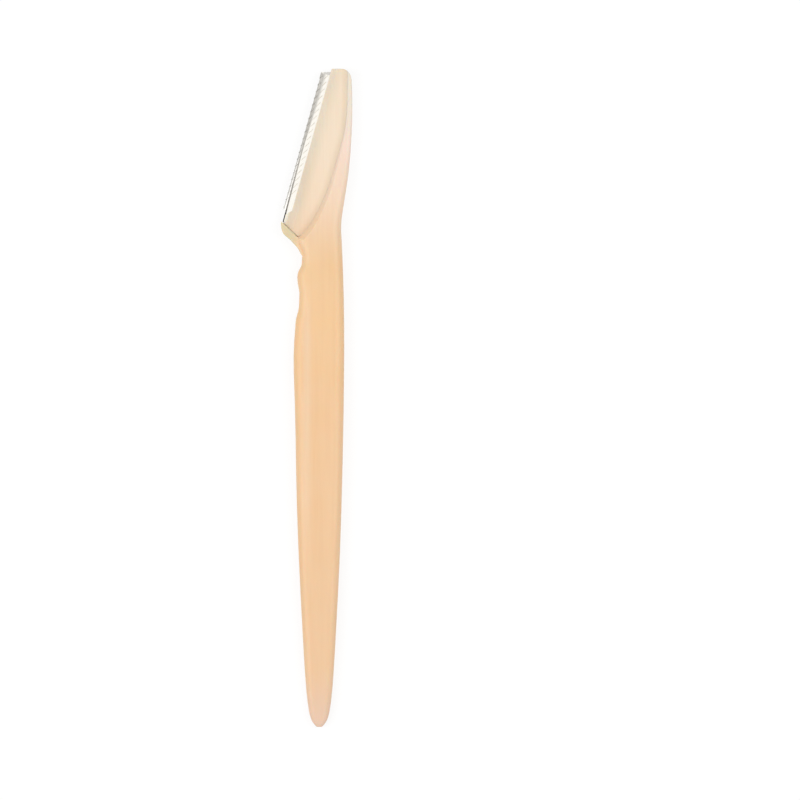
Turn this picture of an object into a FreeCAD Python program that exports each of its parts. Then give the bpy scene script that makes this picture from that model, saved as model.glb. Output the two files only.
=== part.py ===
import FreeCAD, Part
import math
import os

# Eyebrow razor, lying on its flat back with the blade to the left.
# Millimetres, X to the right, Y from the tail to the head, Z up.
# Lengths along Y are measured from the tail tip, and the finished pieces are
# moved so that the origin is the middle of the rest face on the flat back.

# Grip: a tapered bar with a flat back and soft edges
grip_length = 88.0
grip_width = 11.4
grip_thickness = 4.6
rest_point = 75.0
back_trim = 0.05
grip_round_share = 0.44
quarter_circle_share = 0.5523
# Share of the length, of the half width, and heights of the back and the front
grip_shares = [
    (0.000, 0.105, 0.250, 0.450),
    (0.004, 0.168, 0.190, 0.500),
    (0.012, 0.265, 0.110, 0.555),
    (0.024, 0.350, 0.055, 0.600),
    (0.044, 0.422, 0.015, 0.635),
    (0.070, 0.480, 0.000, 0.660),
    (0.122, 0.554, 0.000, 0.700),
    (0.225, 0.653, 0.000, 0.775),
    (0.433, 0.816, 0.000, 0.890),
    (0.640, 0.920, 0.000, 0.960),
    (0.847, 0.983, 0.000, 0.995),
    (1.000, 1.000, 0.000, 1.000),
]

# Neck: two finger scallops on the blade side
neck_length = 22.0
neck_blade_side = 4.87
neck_spine_side = 5.17
neck_steps = 22
lower_scallop_place = 9.2
lower_scallop_half_length = 4.9
lower_scallop_depth = 0.58
upper_scallop_place = 18.8
upper_scallop_half_length = 3.7
upper_scallop_depth = 0.95
scallop_flank_share = 0.72

# Head: a thick curved spine that thins towards the top
head_length = 40.0
spine_reach = 7.55
spine_round_share = 0.2
head_corner = 2.4
# Share of the head length, of the way from the neck's side to the spine's reach, and of the thinning
spine_shares = [
    (0.095, -0.08, 0.03),
    (0.208, 0.12, 0.16),
    (0.368, 0.55, 0.40),
    (0.595, 0.90, 0.70),
    (0.750, 1.00, 0.84),
    (0.900, 0.96, 0.91),
    (1.000, 0.91, 0.93),
]
# S-shaped edge of the spine: shares of the way across the head and of the head length
seam_shares = [
    (0.012, 0.040),
    (0.186, 0.098),
    (0.415, 0.220),
    (0.576, 0.338),
    (0.714, 0.482),
    (0.835, 0.622),
    (0.890, 0.732),
    (0.908, 0.838),
    (0.911, 1.000),
]
seam_gap = 0.01
seam_slope_share = 1.0
seam_round = 0.2
rim_round_share = 0.33
foot_round = 0.5
cheek_thickness = 0.85
cheek_root = 0.5
cheek_round = 0.2

# Blade: the cutting edge leans towards the spine
edge_heel_reach = 8.26
edge_heel_rise = 8.3
edge_tip_reach = 0.42
edge_tip_drop = 0.7
blade_thickness = 0.25
blade_width = 4.6
bevel_width = 0.75
edge_land = 0.02
heel_drop = 3.0
heel_relief = 0.5
heel_gap = 0.2
pocket_clearance = 0.1

# Guard: steel foil folded over the cutting edge
foil_thickness = 0.12
guard_reach = 4.2
guard_top_clearance = 0.15
nose_gap = 0.04
bridge_pitch = 1.6
bridge_width = 0.16
slit_width = 0.17
slit_start = 1.05
slit_end = 1.75
slit_slant_share = 1.6
bridge_end_margin = 0.8
window_margin = 0.1

# Cheeks: their blade side stands back from the edge, with a toe at the heel
exposed_width = 2.15
toe_inset = 1.0
toe_top = 1.2
toe_margin = 0.25
cheek_bevel_inset = 3.4
cheek_bevel_depth = 0.5

# Pegs that locate the blade and the guard
peg_radius = 0.5
peg_inset = 3.3
peg_clearance = 0.08
peg_engagement = 0.35
peg_shares = [0.08, 0.5, 0.92]

# Heel lip under the blade
lip_tip_inset = 0.5
lip_tip_width = 0.45
lip_thickness = 2.8
lip_round = 0.3
lip_root = 2.0
lip_fall = 0.12
# Outer curve of the lip: shares of the reach and of the rise of its tip
lip_shares = [
    (1.005, 0.76),
    (0.960, 0.50),
    (0.885, 0.36),
    (0.770, 0.20),
    (0.655, 0.00),
    (0.550, -0.22),
    (0.493, -0.40),
    (0.420, -0.56),
]

# Every cut runs past the faces that it goes through
overrun = 12.0
# Two points nearer than this are the same point, tested at a few places on an edge
touch = 0.001
edge_samples = 5

head_base = grip_length + neck_length
head_top = head_base + head_length
middle = grip_thickness / 2
stack_half = blade_thickness / 2 + foil_thickness
head_half = stack_half + cheek_thickness
cut_low = -grip_thickness
cut_high = grip_thickness * 2

edge_heel = FreeCAD.Vector(-edge_heel_reach, head_base + edge_heel_rise, 0)
edge_tip = FreeCAD.Vector(edge_tip_reach, head_top - edge_tip_drop, 0)
edge_length = edge_heel.distanceToPoint(edge_tip)
along_edge = (edge_tip - edge_heel).normalize()
into_head = FreeCAD.Vector(along_edge.y, -along_edge.x, 0)
edge_lean = along_edge.x / along_edge.y
nose_radius = foil_thickness + nose_gap
edge_setback = nose_radius - nose_gap / 2


def smooth_step(share):
    """Go from 0 to 1 with level ends."""
    share = min(max(share, 0.0), 1.0)
    return share * share * (3 - 2 * share)


def on_edge(inset, along, height=0):
    """Point at an inset from the cutting edge and a place along it."""
    point = edge_heel + into_head * inset + along_edge * along
    return FreeCAD.Vector(point.x, point.y, height)


def edge_place(point):
    """Inset from the cutting edge and place along it of a point."""
    offset = point - edge_heel
    return offset.dot(into_head), offset.dot(along_edge)


def prism(outline, bottom, top):
    """Upright prism on a closed plan outline."""
    solid = Part.Face(outline).extrude(FreeCAD.Vector(0, 0, top - bottom))
    solid.translate(FreeCAD.Vector(0, 0, bottom))
    return solid


def edge_prism(places, bottom, top):
    """Upright prism on straight sides, given as insets and places along the cutting edge."""
    points = [on_edge(inset, along) for inset, along in places]
    return prism(Part.makePolygon(points + points[:1]), bottom, top)


def section(y, blade_side, back_side, bottom, top, round_share):
    """Rounded rectangle across the handle: the poles of its sides and corners in turn."""
    radius = round_share * (top - bottom)
    pull = radius * (1 - quarter_circle_share)
    left = -blade_side
    right = back_side
    places = [
        [(left + radius, bottom), (right - radius, bottom)],
        [(right - radius, bottom), (right - pull, bottom), (right, bottom + pull), (right, bottom + radius)],
        [(right, bottom + radius), (right, top - radius)],
        [(right, top - radius), (right, top - pull), (right - pull, top), (right - radius, top)],
        [(right - radius, top), (left + radius, top)],
        [(left + radius, top), (left + pull, top), (left, top - pull), (left, top - radius)],
        [(left, top - radius), (left, bottom + radius)],
        [(left, bottom + radius), (left, bottom + pull), (left + pull, bottom), (left + radius, bottom)],
    ]
    return [[FreeCAD.Vector(x, y, z) for x, z in poles] for poles in places]


def pole_edge(poles):
    """Straight or curved edge from its poles."""
    curve = Part.BezierCurve()
    curve.setPoles(poles)
    return curve.toShape()


def skin(sections):
    """Solid with smooth sides through sections across Y."""
    stations = [poles[0][0].y for poles in sections]
    faces = []
    for side in range(len(sections[0])):
        degree = len(sections[0][side]) - 1
        rails = []
        for pole in range(degree + 1):
            rail = Part.BSplineCurve()
            rail.interpolate(Points=[poles[side][pole] for poles in sections], Parameters=stations)
            rails.append(rail)
        surface = Part.BSplineSurface()
        surface.buildFromPolesMultsKnots(
            [rail.getPoles() for rail in rails], [degree + 1, degree + 1], rails[0].getMultiplicities(),
            [0, 1], rails[0].getKnots(), False, False, degree, rails[0].Degree)
        faces.append(surface.toShape())
    for poles in (sections[0], sections[-1]):
        faces.append(Part.Face(Part.Wire([pole_edge(side) for side in poles])))
    shell = Part.makeShell(faces)
    shell.sewShape()
    return Part.makeSolid(shell)


def scallop(place, centre, half_length, depth):
    """Depth of a finger scallop at a place along the neck."""
    reach = 1 - abs(place - centre) / half_length
    return depth * smooth_step(reach / scallop_flank_share)


def grip_sections():
    """Sections from the tail tip to the widest place of the grip."""
    half = grip_width / 2
    sections = []
    for y_share, half_share, back_share, front_share in grip_shares:
        sections.append(section(
            y_share * grip_length, half_share * half, half_share * half,
            back_share * grip_thickness - back_trim, front_share * grip_thickness, grip_round_share))
    return sections


def neck_sections():
    """Sections from the widest place of the grip to the foot of the head."""
    half = grip_width / 2
    sections = []
    for step in range(1, neck_steps + 1):
        share = step / neck_steps
        place = share * neck_length
        blade_side = half + (neck_blade_side - half) * (1 - (1 - share) ** 2)
        blade_side -= scallop(place, lower_scallop_place, lower_scallop_half_length, lower_scallop_depth)
        blade_side -= scallop(place, upper_scallop_place, upper_scallop_half_length, upper_scallop_depth)
        back_side = half + (neck_spine_side - half) * share ** 2
        sections.append(section(
            grip_length + place, blade_side, back_side, -back_trim, grip_thickness, grip_round_share))
    return sections


def spine_side(swell_share):
    """Reach of the spine, from the neck's side out to its full swell."""
    return neck_spine_side + swell_share * (spine_reach - neck_spine_side)


def spine_sections():
    """Sections from the foot of the head to its top."""
    sections = []
    for y_share, swell_share, thin_share in spine_shares:
        bottom = thin_share * (middle - head_half) - back_trim * (1 - thin_share)
        top = grip_thickness - thin_share * (middle - head_half)
        round_share = grip_round_share + thin_share * (spine_round_share - grip_round_share)
        sections.append(section(
            head_base + y_share * head_length, neck_blade_side, spine_side(swell_share),
            bottom, top, round_share))
    return sections


def seam_points(shift=0):
    """Points of the S-shaped edge, moved towards the blade by a shift."""
    points = []
    for x_share, y_share in seam_shares:
        x = -neck_blade_side + x_share * (neck_blade_side + spine_reach)
        points.append(FreeCAD.Vector(x, head_base + y_share * head_length, 0))
    chord = (points[-1] - points[0]).normalize()
    towards_blade = FreeCAD.Vector(-chord.y, chord.x, 0)
    return [point + towards_blade * shift for point in points]


def smooth_edge(points):
    """Smooth curve through points."""
    curve = Part.BSplineCurve()
    curve.interpolate(points)
    return curve.toShape()


def heel_line(inset, gap=0):
    """Place along the edge of the slanted heel line, at an inset."""
    seam_inset, seam_along = edge_place(seam_points()[0])
    slope = (seam_along + heel_drop + heel_gap) / (seam_inset - bevel_width)
    return -heel_drop - heel_gap + slope * (inset - bevel_width) + gap


def upright_edges_at(shape, point):
    """Upright edges of a shape over a plan point."""
    found = []
    for edge in shape.Edges:
        if all(math.hypot(v.X - point.x, v.Y - point.y) < touch for v in edge.Vertexes):
            found.append(edge)
    return found


def lies_on(edge, wall):
    """Whether an edge runs along a wall."""
    points = edge.discretize(Number=edge_samples)
    return all(wall.distToShape(Part.Vertex(point))[0] < touch for point in points)


def is_upright(edge):
    """Whether an edge starts and ends over one plan point."""
    first = edge.Vertexes[0]
    last = edge.Vertexes[-1]
    return math.hypot(first.X - last.X, first.Y - last.Y) < touch


def level_edges_on(shape, wall):
    """Edges of a shape that run along the upright sides of a wall."""
    return [edge for edge in shape.Edges if lies_on(edge, wall) and not is_upright(edge)]


def rim_edges(shape, wall, end):
    """Edges over the front cheek where a wall that was cut into a shape meets its outside, up to an end."""
    inner = []
    for face in shape.Faces:
        if all(lies_on(edge, wall) for edge in face.Edges):
            inner.append(face)
    found = []
    for edge in level_edges_on(shape, wall):
        sharing = [face for face in inner if any(edge.isSame(side) for side in face.Edges)]
        over_cheek = all(v.Z > middle + head_half - touch for v in edge.Vertexes)
        if len(sharing) == 1 and over_cheek and not lies_on(edge, end):
            found.append(edge)
    return found


def top_edges(shape, height):
    """Edges at the top of the head, at a height."""
    found = []
    for edge in shape.Edges:
        points = edge.discretize(Number=edge_samples)
        if all(abs(p.z - height) < touch and abs(p.y - head_top) < touch for p in points):
            found.append(edge)
    return found


def leaf_outline(shift):
    """Plan of the room on the blade side of the S-shaped edge, with a round corner at its foot."""
    points = seam_points(shift)
    foot_inset = edge_place(points[0])[0]
    points[0] = on_edge(foot_inset, heel_line(foot_inset))
    far_left = on_edge(-overrun, heel_line(-overrun))
    corners = [
        points[-1],
        FreeCAD.Vector(points[-1].x, head_top + overrun, 0),
        FreeCAD.Vector(far_left.x, head_top + overrun, 0),
        far_left,
        points[0],
    ]
    sides = Part.makePolygon(corners).Edges
    room = prism(Part.Wire([smooth_edge(points)] + sides), 0, overrun)
    room = room.makeFillet(foot_round, upright_edges_at(room, points[0]))
    floor = min(room.Faces, key=lambda face: face.CenterOfMass.z)
    return floor.OuterWire


def leaf_room():
    """Room for the blade stack and the front cheek, with sloped sides over the cheek."""
    cheek_height = middle + head_half
    slope = seam_slope_share * (cut_high - cheek_height)
    foot = leaf_outline(0)
    foot.translate(FreeCAD.Vector(0, 0, cheek_height))
    brim = leaf_outline(-slope)
    brim.translate(FreeCAD.Vector(0, 0, cut_high))
    lower = prism(leaf_outline(0), cut_low, cheek_height)
    return lower.fuse(Part.makeLoft([foot, brim], True, True)).removeSplitter()


def cheek_outline(heel_shift):
    """Closed outline of a cheek: blade side with its toe, heel, top, and a side rooted in the spine."""
    seam = seam_points(-cheek_root)
    seam_top = FreeCAD.Vector(seam[-1].x, head_top, 0)
    seam[-1] = seam_top
    foot_inset = edge_place(seam[0])[0]
    foot = on_edge(foot_inset, heel_line(foot_inset, heel_shift))
    seam[0] = foot
    blade_side_top = (head_top - edge_heel.y + exposed_width * along_edge.x) / along_edge.y
    corners = [
        seam_top,
        on_edge(exposed_width, blade_side_top),
        on_edge(exposed_width, -toe_top + (exposed_width - toe_inset)),
        on_edge(toe_inset, -toe_top),
        on_edge(toe_inset, heel_line(toe_inset, heel_shift)),
        foot,
    ]
    sides = Part.makePolygon(corners).Edges
    return Part.Wire([smooth_edge(seam)] + sides)


def edge_bar(profile, start, end):
    """Bar along the cutting edge from a profile of insets and heights."""
    points = [on_edge(inset, start, height) for inset, height in profile]
    wire = Part.makePolygon(points + points[:1])
    return Part.Face(wire).extrude(along_edge * (end - start))


def cheek_bevel(outer_height, side):
    """Wedge that thins a cheek towards the blade."""
    slope = cheek_bevel_depth / (cheek_bevel_inset - toe_inset)
    profile = [
        (cheek_bevel_inset, outer_height),
        (cheek_bevel_inset - overrun, outer_height - side * slope * overrun),
        (cheek_bevel_inset - overrun, outer_height + side * overrun),
        (cheek_bevel_inset, outer_height + side * overrun),
    ]
    return edge_bar(profile, -overrun, edge_length + overrun)


def peg_points():
    """Places of the pegs along the blade."""
    return [on_edge(peg_inset, share * edge_length) for share in peg_shares]


def upright_rods(radius, bottom, top):
    """One upright rod at each peg."""
    rods = []
    for point in peg_points():
        foot = FreeCAD.Vector(point.x, point.y, bottom)
        rods.append(Part.makeCylinder(radius, top - bottom, foot))
    return rods


def top_trim():
    """Room over the head, with the rounded corner at the top of the spine."""
    right = spine_side(spine_shares[-1][1])
    centre = FreeCAD.Vector(right - head_corner, head_top - head_corner, 0)
    start = centre + FreeCAD.Vector(0, head_corner, 0)
    end = centre + FreeCAD.Vector(head_corner, 0, 0)
    through = centre + FreeCAD.Vector(1, 1, 0).normalize() * head_corner
    corners = [
        end,
        end + FreeCAD.Vector(overrun, 0, 0),
        end + FreeCAD.Vector(overrun, overrun, 0),
        start + FreeCAD.Vector(0, overrun, 0),
        start,
    ]
    outline = Part.Wire([Part.Arc(start, through, end).toShape()] + Part.makePolygon(corners).Edges)
    return prism(outline, cut_low, cut_high)


def grip_and_spine():
    """Smooth handle with a flat back, cut away on the blade side of the head."""
    body = skin(grip_sections() + neck_sections() + spine_sections())
    below = Part.makeBox(
        overrun * 2, head_top + overrun * 2, overrun, FreeCAD.Vector(-overrun, -overrun, -overrun))
    leaf = leaf_room()
    top = top_trim()
    body = body.cut([below, leaf, top])
    rim_width = spine_side(spine_shares[-1][1]) - seam_points()[-1].x
    radius = min(seam_round, rim_round_share * rim_width)
    return body.makeFillet(radius, rim_edges(body, Part.Compound(leaf.Faces), Part.Compound(top.Faces)))


def heel_lip():
    """Small hook of the handle that shields the heel of the blade."""
    tip = on_edge(lip_tip_inset, heel_line(lip_tip_inset))
    blunt = tip - along_edge * lip_tip_width
    foot = seam_points()[0] - along_edge * lip_fall
    rise = tip.y - head_base
    outer = [blunt]
    for x_share, y_share in lip_shares:
        outer.append(FreeCAD.Vector(x_share * tip.x, head_base + y_share * rise, 0))
    root = FreeCAD.Vector(foot.x + lip_root, outer[-1].y, 0)
    sides = Part.makePolygon([outer[-1], root, foot, tip, blunt]).Edges
    curve = smooth_edge(outer)
    lip = prism(Part.Wire([curve] + sides), 0, lip_thickness)
    outside = curve.extrude(FreeCAD.Vector(0, 0, lip_thickness))
    lip = lip.makeFillet(lip_round, level_edges_on(lip, outside))
    lip.translate(FreeCAD.Vector(0, 0, middle - lip_thickness / 2))
    return lip


def handle():
    """Grip, spine, heel lip and rear cheek in one moulding, with the pegs."""
    cheek = prism(cheek_outline(-cheek_root), middle - head_half, middle - stack_half)
    cheek = cheek.cut([cheek_bevel(middle - head_half, -1), top_trim()])
    pegs = upright_rods(
        peg_radius, middle - stack_half - cheek_thickness / 2, middle + stack_half + peg_engagement)
    return grip_and_spine().fuse([heel_lip(), cheek] + pegs).removeSplitter()


def strip_prism(reach, top, heel_shift, bottom_height, top_height):
    """Plan of a strip along the edge, cut to the slanted heel and the level top."""
    places = [
        (-bevel_width, heel_relief),
        (-bevel_width, top - bevel_width * edge_lean),
        (reach, top + reach * edge_lean),
        (reach, heel_line(reach, heel_shift)),
        (bevel_width, heel_line(bevel_width, heel_shift)),
        (bevel_width, -heel_relief),
    ]
    return edge_prism(places, bottom_height, top_height)


def head_cheek():
    """Front plate that clamps the blade and the guard."""
    plate = prism(cheek_outline(heel_gap + toe_margin), middle - stack_half, middle + head_half)
    plate = plate.common(prism(leaf_outline(seam_gap), cut_low, cut_high)).cut(top_trim())
    plate = plate.makeFillet(cheek_round, top_edges(plate, middle + head_half))
    pocket = strip_prism(
        blade_width + pocket_clearance, edge_length + pocket_clearance, -overrun,
        middle - stack_half, middle + stack_half)
    sockets = upright_rods(
        peg_radius + peg_clearance, middle, middle + stack_half + peg_engagement + peg_clearance)
    return plate.cut([pocket, cheek_bevel(middle + head_half, 1)] + sockets)


def peg_holes():
    """Clearance holes for the pegs."""
    return upright_rods(peg_radius + peg_clearance, cut_low, cut_high)


def blade():
    """Steel strip with a ground edge."""
    half = blade_thickness / 2
    land = edge_land / 2
    profile = [
        (edge_setback, middle - land),
        (bevel_width, middle - half),
        (blade_width, middle - half),
        (blade_width, middle + half),
        (bevel_width, middle + half),
        (edge_setback, middle + land),
    ]
    strip = edge_bar(profile, -overrun, edge_length + overrun)
    plan = strip_prism(blade_width, edge_length - guard_top_clearance, heel_gap, cut_low, cut_high)
    strip = strip.common(plan)
    return strip.cut(peg_holes())


def guard_fold():
    """Foil folded over the edge, as one long bar."""
    inner = blade_thickness / 2
    outer = stack_half

    def at(inset, height):
        return on_edge(inset, -overrun, middle + height)

    edges = Part.makePolygon([
        at(nose_radius, -nose_radius),
        at(bevel_width, -outer),
        at(guard_reach, -outer),
        at(guard_reach, -inner),
        at(bevel_width, -inner),
        at(nose_radius, -nose_gap)]).Edges
    edges.append(Part.Arc(
        at(nose_radius, -nose_gap), at(nose_radius - nose_gap, 0), at(nose_radius, nose_gap)).toShape())
    edges += Part.makePolygon([
        at(nose_radius, nose_gap),
        at(bevel_width, inner),
        at(guard_reach, inner),
        at(guard_reach, outer),
        at(bevel_width, outer),
        at(nose_radius, nose_radius)]).Edges
    edges.append(Part.Arc(
        at(nose_radius, nose_radius), at(0, 0), at(nose_radius, -nose_radius)).toShape())
    return Part.Face(Part.Wire(edges)).extrude(along_edge * (edge_length + overrun * 2))


def slanted_cut(centre, half_width, start, end):
    """Slanted slot through the foil, from one inset to another."""
    places = [
        (start, centre - half_width + start * slit_slant_share),
        (start, centre + half_width + start * slit_slant_share),
        (end, centre + half_width + end * slit_slant_share),
        (end, centre - half_width + end * slit_slant_share),
    ]
    return edge_prism(places, cut_low, cut_high)


def guard_cuts():
    """Windows between the bridges over the edge, and the slits behind them."""
    slant = math.sqrt(1 + slit_slant_share ** 2)
    window_half = (bridge_pitch - bridge_width * slant) / 2
    count = int((edge_length - bridge_end_margin * 2) / bridge_pitch)
    first = (edge_length - (count - 1) * bridge_pitch) / 2
    cuts = []
    for number in range(count):
        centre = first + number * bridge_pitch - bevel_width * slit_slant_share / 2
        cuts.append(slanted_cut(centre, window_half, -bevel_width, bevel_width - window_margin))
        cuts.append(slanted_cut(centre + bridge_pitch / 2, slit_width * slant / 2, slit_start, slit_end))
    return cuts


def blade_guard():
    """Slotted foil over the blade."""
    plan = strip_prism(guard_reach, edge_length, heel_gap, cut_low, cut_high)
    return guard_fold().common(plan).cut(guard_cuts() + peg_holes())


def write(shape, name):
    """Move a finished piece to the part's origin and write it."""
    placed = shape.copy()
    placed.translate(FreeCAD.Vector(0, -rest_point, 0))
    placed.exportStep("parts/" + name + ".step")


os.makedirs("parts", exist_ok=True)
write(handle(), "handle")
write(head_cheek(), "head_cheek")
write(blade(), "blade")
write(blade_guard(), "blade_guard")
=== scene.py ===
import math

import bpy
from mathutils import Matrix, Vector


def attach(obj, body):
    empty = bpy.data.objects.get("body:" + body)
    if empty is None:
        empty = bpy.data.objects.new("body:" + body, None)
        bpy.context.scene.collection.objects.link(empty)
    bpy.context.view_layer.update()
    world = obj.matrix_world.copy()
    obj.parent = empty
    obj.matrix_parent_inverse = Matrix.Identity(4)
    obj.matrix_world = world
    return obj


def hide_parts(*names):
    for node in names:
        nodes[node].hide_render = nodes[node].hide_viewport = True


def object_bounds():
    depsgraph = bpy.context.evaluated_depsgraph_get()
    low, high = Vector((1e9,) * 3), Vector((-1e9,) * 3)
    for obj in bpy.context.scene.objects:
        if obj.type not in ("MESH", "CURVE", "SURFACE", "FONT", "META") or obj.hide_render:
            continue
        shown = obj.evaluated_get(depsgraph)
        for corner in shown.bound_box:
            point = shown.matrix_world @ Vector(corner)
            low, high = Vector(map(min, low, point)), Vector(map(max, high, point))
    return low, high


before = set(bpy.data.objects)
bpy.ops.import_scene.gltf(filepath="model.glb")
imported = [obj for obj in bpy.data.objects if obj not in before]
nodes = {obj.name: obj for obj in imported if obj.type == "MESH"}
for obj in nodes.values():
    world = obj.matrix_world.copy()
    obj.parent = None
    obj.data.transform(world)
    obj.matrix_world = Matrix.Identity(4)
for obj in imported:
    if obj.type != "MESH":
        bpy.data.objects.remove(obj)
cad_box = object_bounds()
scene = bpy.context.scene

MM = 0.001
WHITE = (1.0, 1.0, 1.0, 1.0)

# Picture: the razor lies left of the middle, seen straight from above
PICTURE_PIXELS = 800
PIXEL = 0.22796 * MM
AXIS_PIXEL = 319.25
TAIL_PIXEL = 727
CAMERA_HEIGHT = 1.2
CAMERA_REACH = 10.0
SENSOR = 36.0

# Floor: its size in metres, and its grey under the light
FLOOR_SIZE = 6.0
FLOOR_GREY = (0.2, 0.2, 0.2, 1.0)
FLOOR_ROUGHNESS = 0.9

# Lamps: name, place and size in metres, and power in watts
LAMPS = (
    ("lamp_left", (-0.42, -0.02, 0.5), (0.3, 0.5), 1.5),
    ("lamp_right", (0.42, 0.05, 0.5), (0.3, 0.5), 1.1))

# S-shaped side of the front cheek: the slope and turn of its normals, how near to the top of the
# cheek its faces reach, where up the head it ends, and how far it is pressed onto the spine
UPRIGHT = 0.05
FACING_SPINE = 0.15
TOUCH = 0.01 * MM
PRESSED_TOP = 72.4 * MM
PRESS = 0.03 * MM

# All the places and ranges below are in millimetres

# Corners of the front cheek's heel side in plan, in the CAD solid and as shown closer to the lip
HEEL_SIDE = [
    (Vector((-4.384, 36.917)), Vector((-4.620, 36.800))),
    (Vector((-4.432, 36.878)), Vector((-5.006, 36.890))),
    (Vector((-6.095, 38.422)), Vector((-6.224, 37.960))),
    (Vector((-8.073, 40.258)), Vector((-8.154, 39.969)))]
CORNER_REACH = 0.03

# Directions: towards the spine, from the tail to the head, and out of the flat back
ORIGIN = (0, 0, 0)
ACROSS = (1, 0, 0)
TO_HEAD = (0, 1, 0)
OUTWARD = (0, 0, 1)

# Cutting edge of the blade in plan, and the gap along its slanted heel
EDGE_HEEL = Vector((-8.26, 43.3, 0))
EDGE_TIP = Vector((0.42, 74.3, 0))
ALONG_EDGE = (EDGE_TIP - EDGE_HEEL).normalized()
INTO_HEAD = Vector((ALONG_EDGE.y, -ALONG_EDGE.x, 0))
ACROSS_HEEL = Vector((0.707, 0.707, 0))
HEEL_GAP = Vector((-7.0, 40.1, 0))

# S-shaped edge of the spine in plan: points across and up the head
SEAM = [
    (-4.7, 36.6), (-2.6, 38.9), (0.3, 43.8), (2.3, 48.5), (4.0, 54.3),
    (5.5, 59.9), (6.2, 64.3), (6.4, 68.5), (6.45, 75.0)]

# Each pair below says where a shade starts and where it is full

# Painted soft shade in the valley beside the S-shaped edge
VALLEY_LEFT = (-1.8, -0.2)
VALLEY_RIGHT = (1.2, 0.1)
VALLEY_FOOT = (34.0, 38.0)

# Painted light on the walls of the gap over the heel lip
GAP_FLOOR = (1.9, 2.0)
GAP_MOUTH = (3.45, 3.3)
GAP_SIDE = (-1.2, -1.0)
GAP_SPINE = (-3.0, -3.6)
GAP_TOP = (42.0, 41.0)

# Painted shade on the heel lip, a darker yellowish tint, measured across from the heel of the edge
# and up the head
LIP_SIDE = (4.2, 1.2)
LIP_FOOT = (32.5, 35.0)
LIP_TOP = (44.0, 42.5)

# Painted highlight: a pale stripe on the left of the grip, standing in for a lamp's reflection on
# its rounded side
PAINTED_HIGHLIGHT_LEFT = (-4.4, -2.9)
PAINTED_HIGHLIGHT_RIGHT = (-1.2, -2.7)
PAINTED_HIGHLIGHT_FOOT = (-50.0, -20.0)
PAINTED_HIGHLIGHT_TOP = (30.0, 12.0)

# Front cheek: along the edge, up the head, and towards the edge at its foot
PLATE_UPPER = (4.0, 22.0)
PLATE_LOWER = (45.0, 36.0)
PLATE_FOOT = (2.0, 1.2)

# Bands of the steel, as insets from the cutting edge: painted grey reflections on the ground edge,
# and a painted shadow line on their inner side
RIM_START = (0.08, 0.16)
GROUND_START = (0.3, 0.42)
SHADOW_LINE_START = (0.62, 0.74)
SHADOW_LINE_END = 0.96
SHADOW_LINE_LEAN = 0.0165
SHADOW_LINE_FADE = 0.14
SHADOW_LINE_FADE_MORE = 1.0

# Where the painted shadow line's inner side fades more along the edge, and where the steel's top
# end starts
FADING_MORE = (12.0, 32.0)
TOP_END = (31.9, 32.05)

# Painted light on the steel at the heel: pale peach standing in for light from the translucent
# plastic around it
STEEL_LIGHT_HEEL = (0.6, 0.3)
STEEL_LIGHT_INSET = (1.0, 1.3)

# Grain of the surfaces: cells per millimetre
FLOW_LINES = (1.6, 0.05, 1.6)
CLOUDS = (0.12, 0.06, 0.12)
GLOSS_PATCHES = (0.6, 0.2, 0.6)
SKIN_GRAIN = (5.0, 5.0, 5.0)
SKIN_WAVES = (0.5, 0.06, 0.5)
FOIL_LINES = (0.25, 9.0, 9.0)
BLADE_LINES = (0.4, 12.0, 12.0)

# Grain as a share: the values of the noise where it starts and is full
CRISP_NOISE = (0.35, 0.65)
SOFT_NOISE = (0.3, 0.7)

# Plastic: roughness, refraction, and the depth that light reaches under its skin in each colour
PLASTIC_ROUGHNESS = (0.36, 0.46)
PLASTIC_IOR = 1.49
PLASTIC_SPECULAR = 0.35
PLASTIC_DEPTHS = (1.0, 0.55, 0.3)
PLASTIC_DEPTH = 2.0 * MM
PLASTIC_CLEARNESS = 0.3

# Steel: roughness of the foil and the blade, and how far the grain changes it
FOIL_ROUGHNESS = 0.22
BLADE_ROUGHNESS = 0.5
GRAIN_SHARES = (0.8, 1.25)


def colour(text):
    """Linear colour of a hexadecimal screen colour."""
    parts = [int(text[i:i + 2], 16) / 255 for i in (0, 2, 4)]
    linear = [p / 12.92 if p <= 0.04045 else ((p + 0.055) / 1.055) ** 2.4 for p in parts]
    return (*linear, 1.0)


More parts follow.
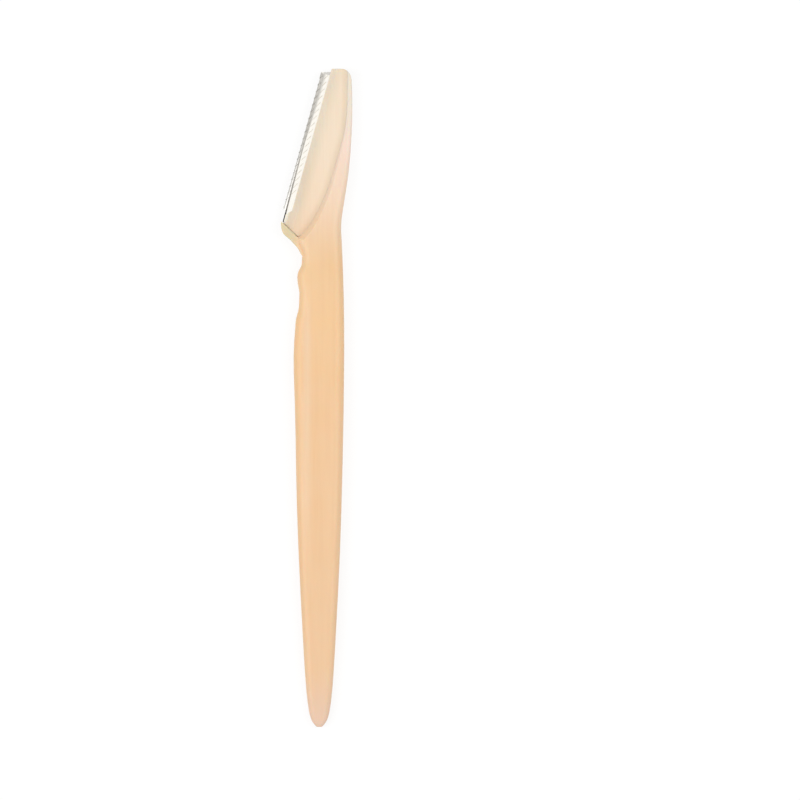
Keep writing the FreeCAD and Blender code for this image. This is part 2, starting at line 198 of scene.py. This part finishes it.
class Surface:
    """A node material with short ways to add what its shader needs."""

    def __init__(self, name):
        self.material = bpy.data.materials.new(name)
        self.material.use_nodes = True
        self.tree = self.material.node_tree
        self.shader = self.tree.nodes["Principled BSDF"]
        place = self.add("ShaderNodeTexCoord").outputs["Object"]
        self.place = self.vector("SCALE", place, Scale=1 / MM)

    def add(self, kind, inputs=None, **settings):
        """New node with its settings, and its inputs linked or set."""
        made = self.tree.nodes.new(kind)
        for key, value in settings.items():
            setattr(made, key, value)
        for key, value in (inputs or {}).items():
            self.put(made.inputs[key], value)
        return made

    def put(self, socket, value):
        """Link a socket, or set it where the value is constant."""
        if isinstance(value, bpy.types.NodeSocket):
            self.tree.links.new(value, socket)
        else:
            socket.default_value = value

    def vector(self, operation, first, second=None, **named):
        """Result of a vector operation."""
        inputs = {0: first, **named}
        if second is not None:
            inputs[1] = second
        made = self.add("ShaderNodeVectorMath", inputs, operation=operation)
        return made.outputs["Value" if operation == "DOT_PRODUCT" else "Vector"]

    def sums(self, operation, first, second):
        """Result of a number operation."""
        made = self.add("ShaderNodeMath", {0: first, 1: second}, operation=operation)
        return made.outputs[0]

    def product(self, first, *others):
        """Product of shares."""
        for other in others:
            first = self.sums("MULTIPLY", first, other)
        return first

    def distance(self, origin, direction):
        """Distance in millimetres from a plan line, along a direction."""
        offset = self.vector("SUBTRACT", self.place, origin)
        return self.vector("DOT_PRODUCT", offset, direction)

    def mapped(self, value, **ends):
        """Value moved from one range to another."""
        inputs = {key.replace("_", " "): end for key, end in ends.items()}
        return self.add("ShaderNodeMapRange", {"Value": value, **inputs}).outputs["Result"]

    def between(self, value, ends):
        """Smooth share from 0 at one end to 1 at the other."""
        low, high = ends
        made = self.add(
            "ShaderNodeMapRange", {"Value": value, "From Min": low, "From Max": high},
            interpolation_type="SMOOTHSTEP")
        return made.outputs["Result"]

    def band(self, value, rising, falling):
        """Share that rises over one range of a value and falls over another."""
        return self.sums("MINIMUM", self.between(value, rising), self.between(value, falling))

    def curve(self, value, points):
        """Smooth curve through points of a value and its result."""
        low = points[0][0]
        high = points[-1][0]
        least = min(result for _, result in points)
        most = max(result for _, result in points)
        share = self.mapped(value, From_Min=low, From_Max=high)
        made = self.add("ShaderNodeFloatCurve", {"Value": share})
        line = made.mapping.curves[0]
        while len(line.points) < len(points):
            line.points.new(0.5, 0.5)
        for point, (at, result) in zip(line.points, points):
            point.location = ((at - low) / (high - low), (result - least) / (most - least))
        made.mapping.update()
        return self.mapped(made.outputs["Value"], To_Min=least, To_Max=most)

    def ramp(self, value, stops):
        """Colour ramp through stops of a value and its colour."""
        low = stops[0][0]
        high = stops[-1][0]
        share = self.mapped(value, From_Min=low, From_Max=high)
        made = self.add("ShaderNodeValToRGB", {"Fac": share})
        elements = made.color_ramp.elements
        while len(elements) < len(stops):
            elements.new(0.5)
        for element, (at, text) in zip(elements, stops):
            element.position = (at - low) / (high - low)
            element.color = colour(text)
        return made.outputs["Color"]

    def noise(self, cells, detail, turn=0.0):
        """Noise with so many cells per millimetre, turned about Z."""
        spun = self.add(
            "ShaderNodeMapping", {"Vector": self.place, "Rotation": (0, 0, turn)},
            vector_type="TEXTURE")
        placed = self.vector("MULTIPLY", spun.outputs["Vector"], cells)
        made = self.add(
            "ShaderNodeTexNoise",
            {"Vector": placed, "Scale": 1.0, "Detail": detail, "Roughness": 0.5})
        return made.outputs["Fac"]

    def mix(self, share, first, second, blend="MIX"):
        """Mixed colour."""
        made = self.add("ShaderNodeMix", data_type="RGBA", blend_type=blend)
        self.put(made.inputs["Factor"], share)
        self.put(made.inputs[6], first)
        self.put(made.inputs[7], second)
        return made.outputs[2]

    def tint(self, share, base, text, strength):
        """Base colour with some of another colour where a share says."""
        return self.mix(share, base, self.mix(strength, base, colour(text)))

    def bump(self, height, strength, depth, under=None):
        """Bumped normal from a height, on top of another normal."""
        inputs = {"Height": height, "Strength": strength, "Distance": depth * MM}
        if under is not None:
            inputs["Normal"] = under
        return self.add("ShaderNodeBump", inputs).outputs["Normal"]

    def set(self, **values):
        """Set the shader's inputs by name, with spaces as underscores."""
        for key, value in values.items():
            self.put(self.shader.inputs[key.replace("_", " ")], value)

    def dress(self, piece):
        """Give this material to a piece."""
        piece.data.materials.clear()
        piece.data.materials.append(self.material)


def moulded(surface, base):
    """Glossy translucent plastic with faint flow lines over a base colour."""
    flow = surface.between(surface.noise(FLOW_LINES, detail=3.0), CRISP_NOISE)
    base = surface.tint(flow, base, "c98a50", strength=0.05)
    cloud = surface.between(surface.noise(CLOUDS, detail=1.0), SOFT_NOISE)
    base = surface.tint(cloud, base, "fff2e2", strength=0.07)
    low, high = PLASTIC_ROUGHNESS
    gloss = surface.mapped(surface.noise(GLOSS_PATCHES, detail=2.0), To_Min=low, To_Max=high)
    skin = surface.bump(surface.noise(SKIN_GRAIN, detail=2.0), strength=0.06, depth=0.02)
    skin = surface.bump(
        surface.noise(SKIN_WAVES, detail=1.0), strength=0.25, depth=0.03, under=skin)
    surface.set(
        Base_Color=base, Roughness=gloss, IOR=PLASTIC_IOR, Specular_IOR_Level=PLASTIC_SPECULAR,
        Normal=skin, Subsurface_Weight=PLASTIC_CLEARNESS, Subsurface_Radius=PLASTIC_DEPTHS,
        Subsurface_Scale=PLASTIC_DEPTH)


def seam_painted_shade(surface, base, strength):
    """Soft shade beside the S-shaped edge of the spine, fading at its foot."""
    across = surface.distance(ORIGIN, ACROSS)
    height = surface.distance(ORIGIN, TO_HEAD)
    edge = surface.curve(height, [(y, x) for x, y in SEAM])
    beside = surface.sums("SUBTRACT", across, edge)
    valley = surface.product(
        surface.band(beside, VALLEY_LEFT, VALLEY_RIGHT),
        surface.between(height, VALLEY_FOOT),
        strength)
    return surface.mix(valley, base, surface.mix(1.0, base, colour("f0ebe4"), "MULTIPLY"))


def heel_gap_painted_light(surface):
    """Share of painted light on the walls of the narrow gap over the heel lip: a paler colour
    standing in for the light that the translucent plastic passes on.
    """
    rise = surface.distance(ORIGIN, OUTWARD)
    return surface.product(
        surface.between(rise, GAP_FLOOR),
        surface.between(rise, GAP_MOUTH),
        surface.between(surface.distance(HEEL_GAP, ACROSS_HEEL), GAP_SIDE),
        surface.between(surface.distance(ORIGIN, ACROSS), GAP_SPINE),
        surface.between(surface.distance(ORIGIN, TO_HEAD), GAP_TOP))


def handle_surface():
    """Peach plastic, paler at the tail and towards the thin head, with painted shade on the heel
    lip and beside the spine's edge, a painted highlight on the grip, and painted light in the gap
    over the lip.
    """
    surface = Surface("handle_plastic")
    height = surface.distance(ORIGIN, TO_HEAD)
    base = surface.ramp(height, [
        (-75, "ebcbb4"), (-62, "eec79c"), (0, "f1c89a"), (18, "f2c895"),
        (30, "f0c999"), (45, "f4d9be"), (58, "f7e0d0"), (75, "efe5d4")])
    # Painted shade: the heel lip in a darker yellowish tint
    lip = surface.product(
        surface.between(surface.distance(EDGE_HEEL, ACROSS), LIP_SIDE),
        surface.between(height, LIP_FOOT),
        surface.between(height, LIP_TOP))
    base = surface.mix(lip, base, colour("dccda6"))
    # Painted highlight: a pale stripe on the left of the grip, where a lamp reflects on its rounded
    # side
    painted_highlight = surface.product(
        surface.band(surface.distance(ORIGIN, ACROSS), PAINTED_HIGHLIGHT_LEFT, PAINTED_HIGHLIGHT_RIGHT),
        surface.between(height, PAINTED_HIGHLIGHT_FOOT),
        surface.between(height, PAINTED_HIGHLIGHT_TOP))
    base = surface.mix(painted_highlight, base, colour("f2d0aa"))
    # Painted light: the walls of the gap over the heel lip made paler, standing in for light
    # through the plastic
    base = surface.mix(heel_gap_painted_light(surface), base, colour("fff4e6"))
    moulded(surface, seam_painted_shade(surface, base, strength=0.15))
    surface.dress(nodes["handle"])


def cheek_plate():
    """Front cheek pressed onto the spine and drawn closer to the lip, so that no gap stands out."""
    mesh = nodes["head_cheek"].data.copy()
    top = max(vertex.co.z for vertex in mesh.vertices)
    pressed = set()
    for face in mesh.polygons:
        corners = [mesh.vertices[i].co for i in face.vertices]
        upright = abs(face.normal.z) < UPRIGHT and max(c.z for c in corners) > top - TOUCH
        below_end = max(c.y for c in corners) < PRESSED_TOP
        if upright and below_end and face.normal.x > FACING_SPINE:
            pressed.update(c.copy().freeze() for c in corners)
    for vertex in mesh.vertices:
        plan = vertex.co.xy / MM
        if vertex.co.copy().freeze() in pressed:
            vertex.co.x += PRESS
        for built, shown in HEEL_SIDE:
            if (plan - built).length < CORNER_REACH:
                vertex.co.xy = shown * MM
    plate = bpy.data.objects.new("cheek_plate", mesh)
    scene.collection.objects.link(plate)
    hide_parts("head_cheek")
    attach(plate, "root")
    return plate


def cheek_surface():
    """Paler peach plastic, shaded where steel lies under its thin side, and pale at its foot."""
    surface = Surface("cheek_plastic")
    inset = surface.distance(EDGE_HEEL, INTO_HEAD)
    base = surface.ramp(inset, [
        (1.5, "ddcebb"), (3.0, "e3d0b9"), (4.0, "eed7bc"), (5.2, "f7ddc3"), (8.0, "f8dfc5")])
    upper = surface.between(surface.distance(EDGE_HEEL, ALONG_EDGE), PLATE_UPPER)
    base = surface.tint(upper, base, "f9ecd8", strength=0.3)
    lower = surface.between(surface.distance(ORIGIN, TO_HEAD), PLATE_LOWER)
    base = surface.tint(lower, base, "f0cba8", strength=0.6)
    base = surface.mix(surface.between(inset, PLATE_FOOT), base, colour("fdf1de"))
    moulded(surface, seam_painted_shade(surface, base, strength=0.65))
    surface.dress(cheek_plate())


def brushed(surface, base, rough, direction, lines):
    """Steel with fine lines in one direction."""
    turn = math.atan2(direction.y, direction.x)
    grain = surface.noise(lines, detail=3.0, turn=turn)
    base = surface.tint(surface.between(grain, SOFT_NOISE), base, "4a4844", strength=0.08)
    low, high = GRAIN_SHARES
    gloss = surface.mapped(grain, To_Min=rough * low, To_Max=rough * high)
    surface.set(
        Base_Color=base, Metallic=1.0, Roughness=gloss,
        Normal=surface.bump(grain, strength=0.08, depth=0.01))


def heel_steel_painted_light(surface):
    """Share of painted light on the steel in the gap along the slanted heel: pale peach standing in
    for light from the translucent plastic around it.
    """
    return surface.product(
        surface.between(surface.distance(HEEL_GAP, ACROSS_HEEL), STEEL_LIGHT_HEEL),
        surface.between(surface.distance(EDGE_HEEL, INTO_HEAD), STEEL_LIGHT_INSET))


def edge_bands(surface, plain):
    """Plain steel whose ground edge has painted grey bands, darker towards the tip, standing in for
    the dark surroundings that its tilted faces reflect, and whose inner side is a painted shadow
    line, darkest at the heel.
    """
    inset = surface.distance(EDGE_HEEL, INTO_HEAD)
    along = surface.distance(EDGE_HEEL, ALONG_EDGE)
    # Painted reflection: grey bands on the ground edge, darker towards the tip, for the dark
    # surroundings its tilted faces reflect
    tips = surface.ramp(along, [(0, "e6e4e0"), (14, "dad8d4"), (33, "c0bdb7")])
    rim = surface.ramp(along, [(0, "a8a6a1"), (12, "a3a19c"), (24, "9c9993"), (33, "7a766f")])
    ground = surface.ramp(along, [(0, "dddbd7"), (8, "d8d6d2"), (16, "d2d0cc"), (33, "c4c2bd")])
    # Painted shadow: a dark line on the inner side of the ground edge, nearly black at the heel
    line = surface.ramp(along, [
        (-3, "161310"), (-1, "2a2622"), (0.3, "8a867f"), (8, "a09c95"), (33, "b3b0aa")])
    leaning = surface.sums("ADD", inset, surface.product(along, SHADOW_LINE_LEAN))
    more = surface.product(surface.between(along, FADING_MORE), SHADOW_LINE_FADE_MORE)
    fade = surface.sums("ADD", SHADOW_LINE_FADE, more)
    rise = surface.sums("DIVIDE", surface.sums("SUBTRACT", leaning, SHADOW_LINE_END), fade)
    base = surface.mix(surface.between(inset, RIM_START), tips, rim)
    base = surface.mix(surface.between(inset, GROUND_START), base, ground)
    base = surface.mix(surface.between(leaning, SHADOW_LINE_START), base, line)
    base = surface.mix(surface.between(rise, (0.0, 1.0)), base, colour(plain))
    base = surface.mix(surface.between(along, TOP_END), base, colour("d6d3cd"))
    # Painted light: pale peach on the steel in the gap along the slanted heel
    return surface.mix(heel_steel_painted_light(surface), base, colour("f0dfca"))


def guard_surface():
    """Bright foil, with lines along the edge."""
    surface = Surface("guard_steel")
    base = edge_bands(surface, "fdf9f1")
    brushed(surface, base, FOIL_ROUGHNESS, ALONG_EDGE, FOIL_LINES)
    surface.dress(nodes["blade_guard"])


def blade_surface():
    """Steel strip, duller under the foil, with lines across the edge."""
    surface = Surface("blade_steel")
    base = edge_bands(surface, "dad5ca")
    brushed(surface, base, BLADE_ROUGHNESS, INTO_HEAD, BLADE_LINES)
    surface.dress(nodes["blade"])


def white_for_sight(tree, strength, shown, given):
    """One strength for what is seen, also in metal and through plastic, another for light given."""
    path = tree.nodes.new("ShaderNodeLightPath")
    seen = path.outputs["Is Camera Ray"]
    for name in ("Is Glossy Ray", "Is Transmission Ray"):
        larger = tree.nodes.new("ShaderNodeMath")
        larger.operation = "MAXIMUM"
        tree.links.new(seen, larger.inputs[0])
        tree.links.new(path.outputs[name], larger.inputs[1])
        seen = larger.outputs[0]
    level = tree.nodes.new("ShaderNodeMapRange")
    level.inputs["To Min"].default_value = given
    level.inputs["To Max"].default_value = shown
    tree.links.new(seen, level.inputs["Value"])
    tree.links.new(level.outputs["Result"], strength)


def studio():
    """Pale floor, plain sky and two soft lamps."""
    world = bpy.data.worlds.new("studio")
    world.use_nodes = True
    scene.world = world
    sky = world.node_tree.nodes["Background"]
    sky.inputs["Color"].default_value = WHITE
    white_for_sight(world.node_tree, sky.inputs["Strength"], shown=1.0, given=0.6)

    bpy.ops.mesh.primitive_plane_add(size=FLOOR_SIZE)
    floor = bpy.context.object
    floor.name = "floor"
    paper = bpy.data.materials.new("floor_paper")
    paper.use_nodes = True
    tree = paper.node_tree
    shader = tree.nodes["Principled BSDF"]
    shader.inputs["Base Color"].default_value = FLOOR_GREY
    shader.inputs["Roughness"].default_value = FLOOR_ROUGHNESS
    shader.inputs["Specular IOR Level"].default_value = 0.0
    shader.inputs["Emission Color"].default_value = WHITE
    white_for_sight(tree, shader.inputs["Emission Strength"], shown=0.82, given=0.5)
    floor.data.materials.append(paper)

    for name, place, size, power in LAMPS:
        data = bpy.data.lights.new(name, "AREA")
        data.shape = "RECTANGLE"
        data.size, data.size_y = size
        data.energy = power
        lamp = bpy.data.objects.new(name, data)
        scene.collection.objects.link(lamp)
        lamp.location = place
        lamp.rotation_euler = (-Vector(place)).to_track_quat("-Z", "Y").to_euler()


def camera():
    """Long lens straight above, with the head of the razor up in the picture."""
    data = bpy.data.cameras.new("camera")
    seen = bpy.data.objects.new("camera", data)
    scene.collection.objects.link(seen)
    (_, tail, back), (_, _, front) = cad_box
    middle = PICTURE_PIXELS / 2
    seen.location = (
        (middle - AXIS_PIXEL) * PIXEL,
        tail + (TAIL_PIXEL - middle) * PIXEL,
        (back + front) / 2 + CAMERA_HEIGHT)
    data.sensor_width = SENSOR
    data.lens = SENSOR * CAMERA_HEIGHT / (PICTURE_PIXELS * PIXEL)
    data.clip_end = CAMERA_REACH
    scene.camera = seen


scene.view_settings.view_transform = "Standard"
handle_surface()
cheek_surface()
guard_surface()
blade_surface()
studio()
camera()
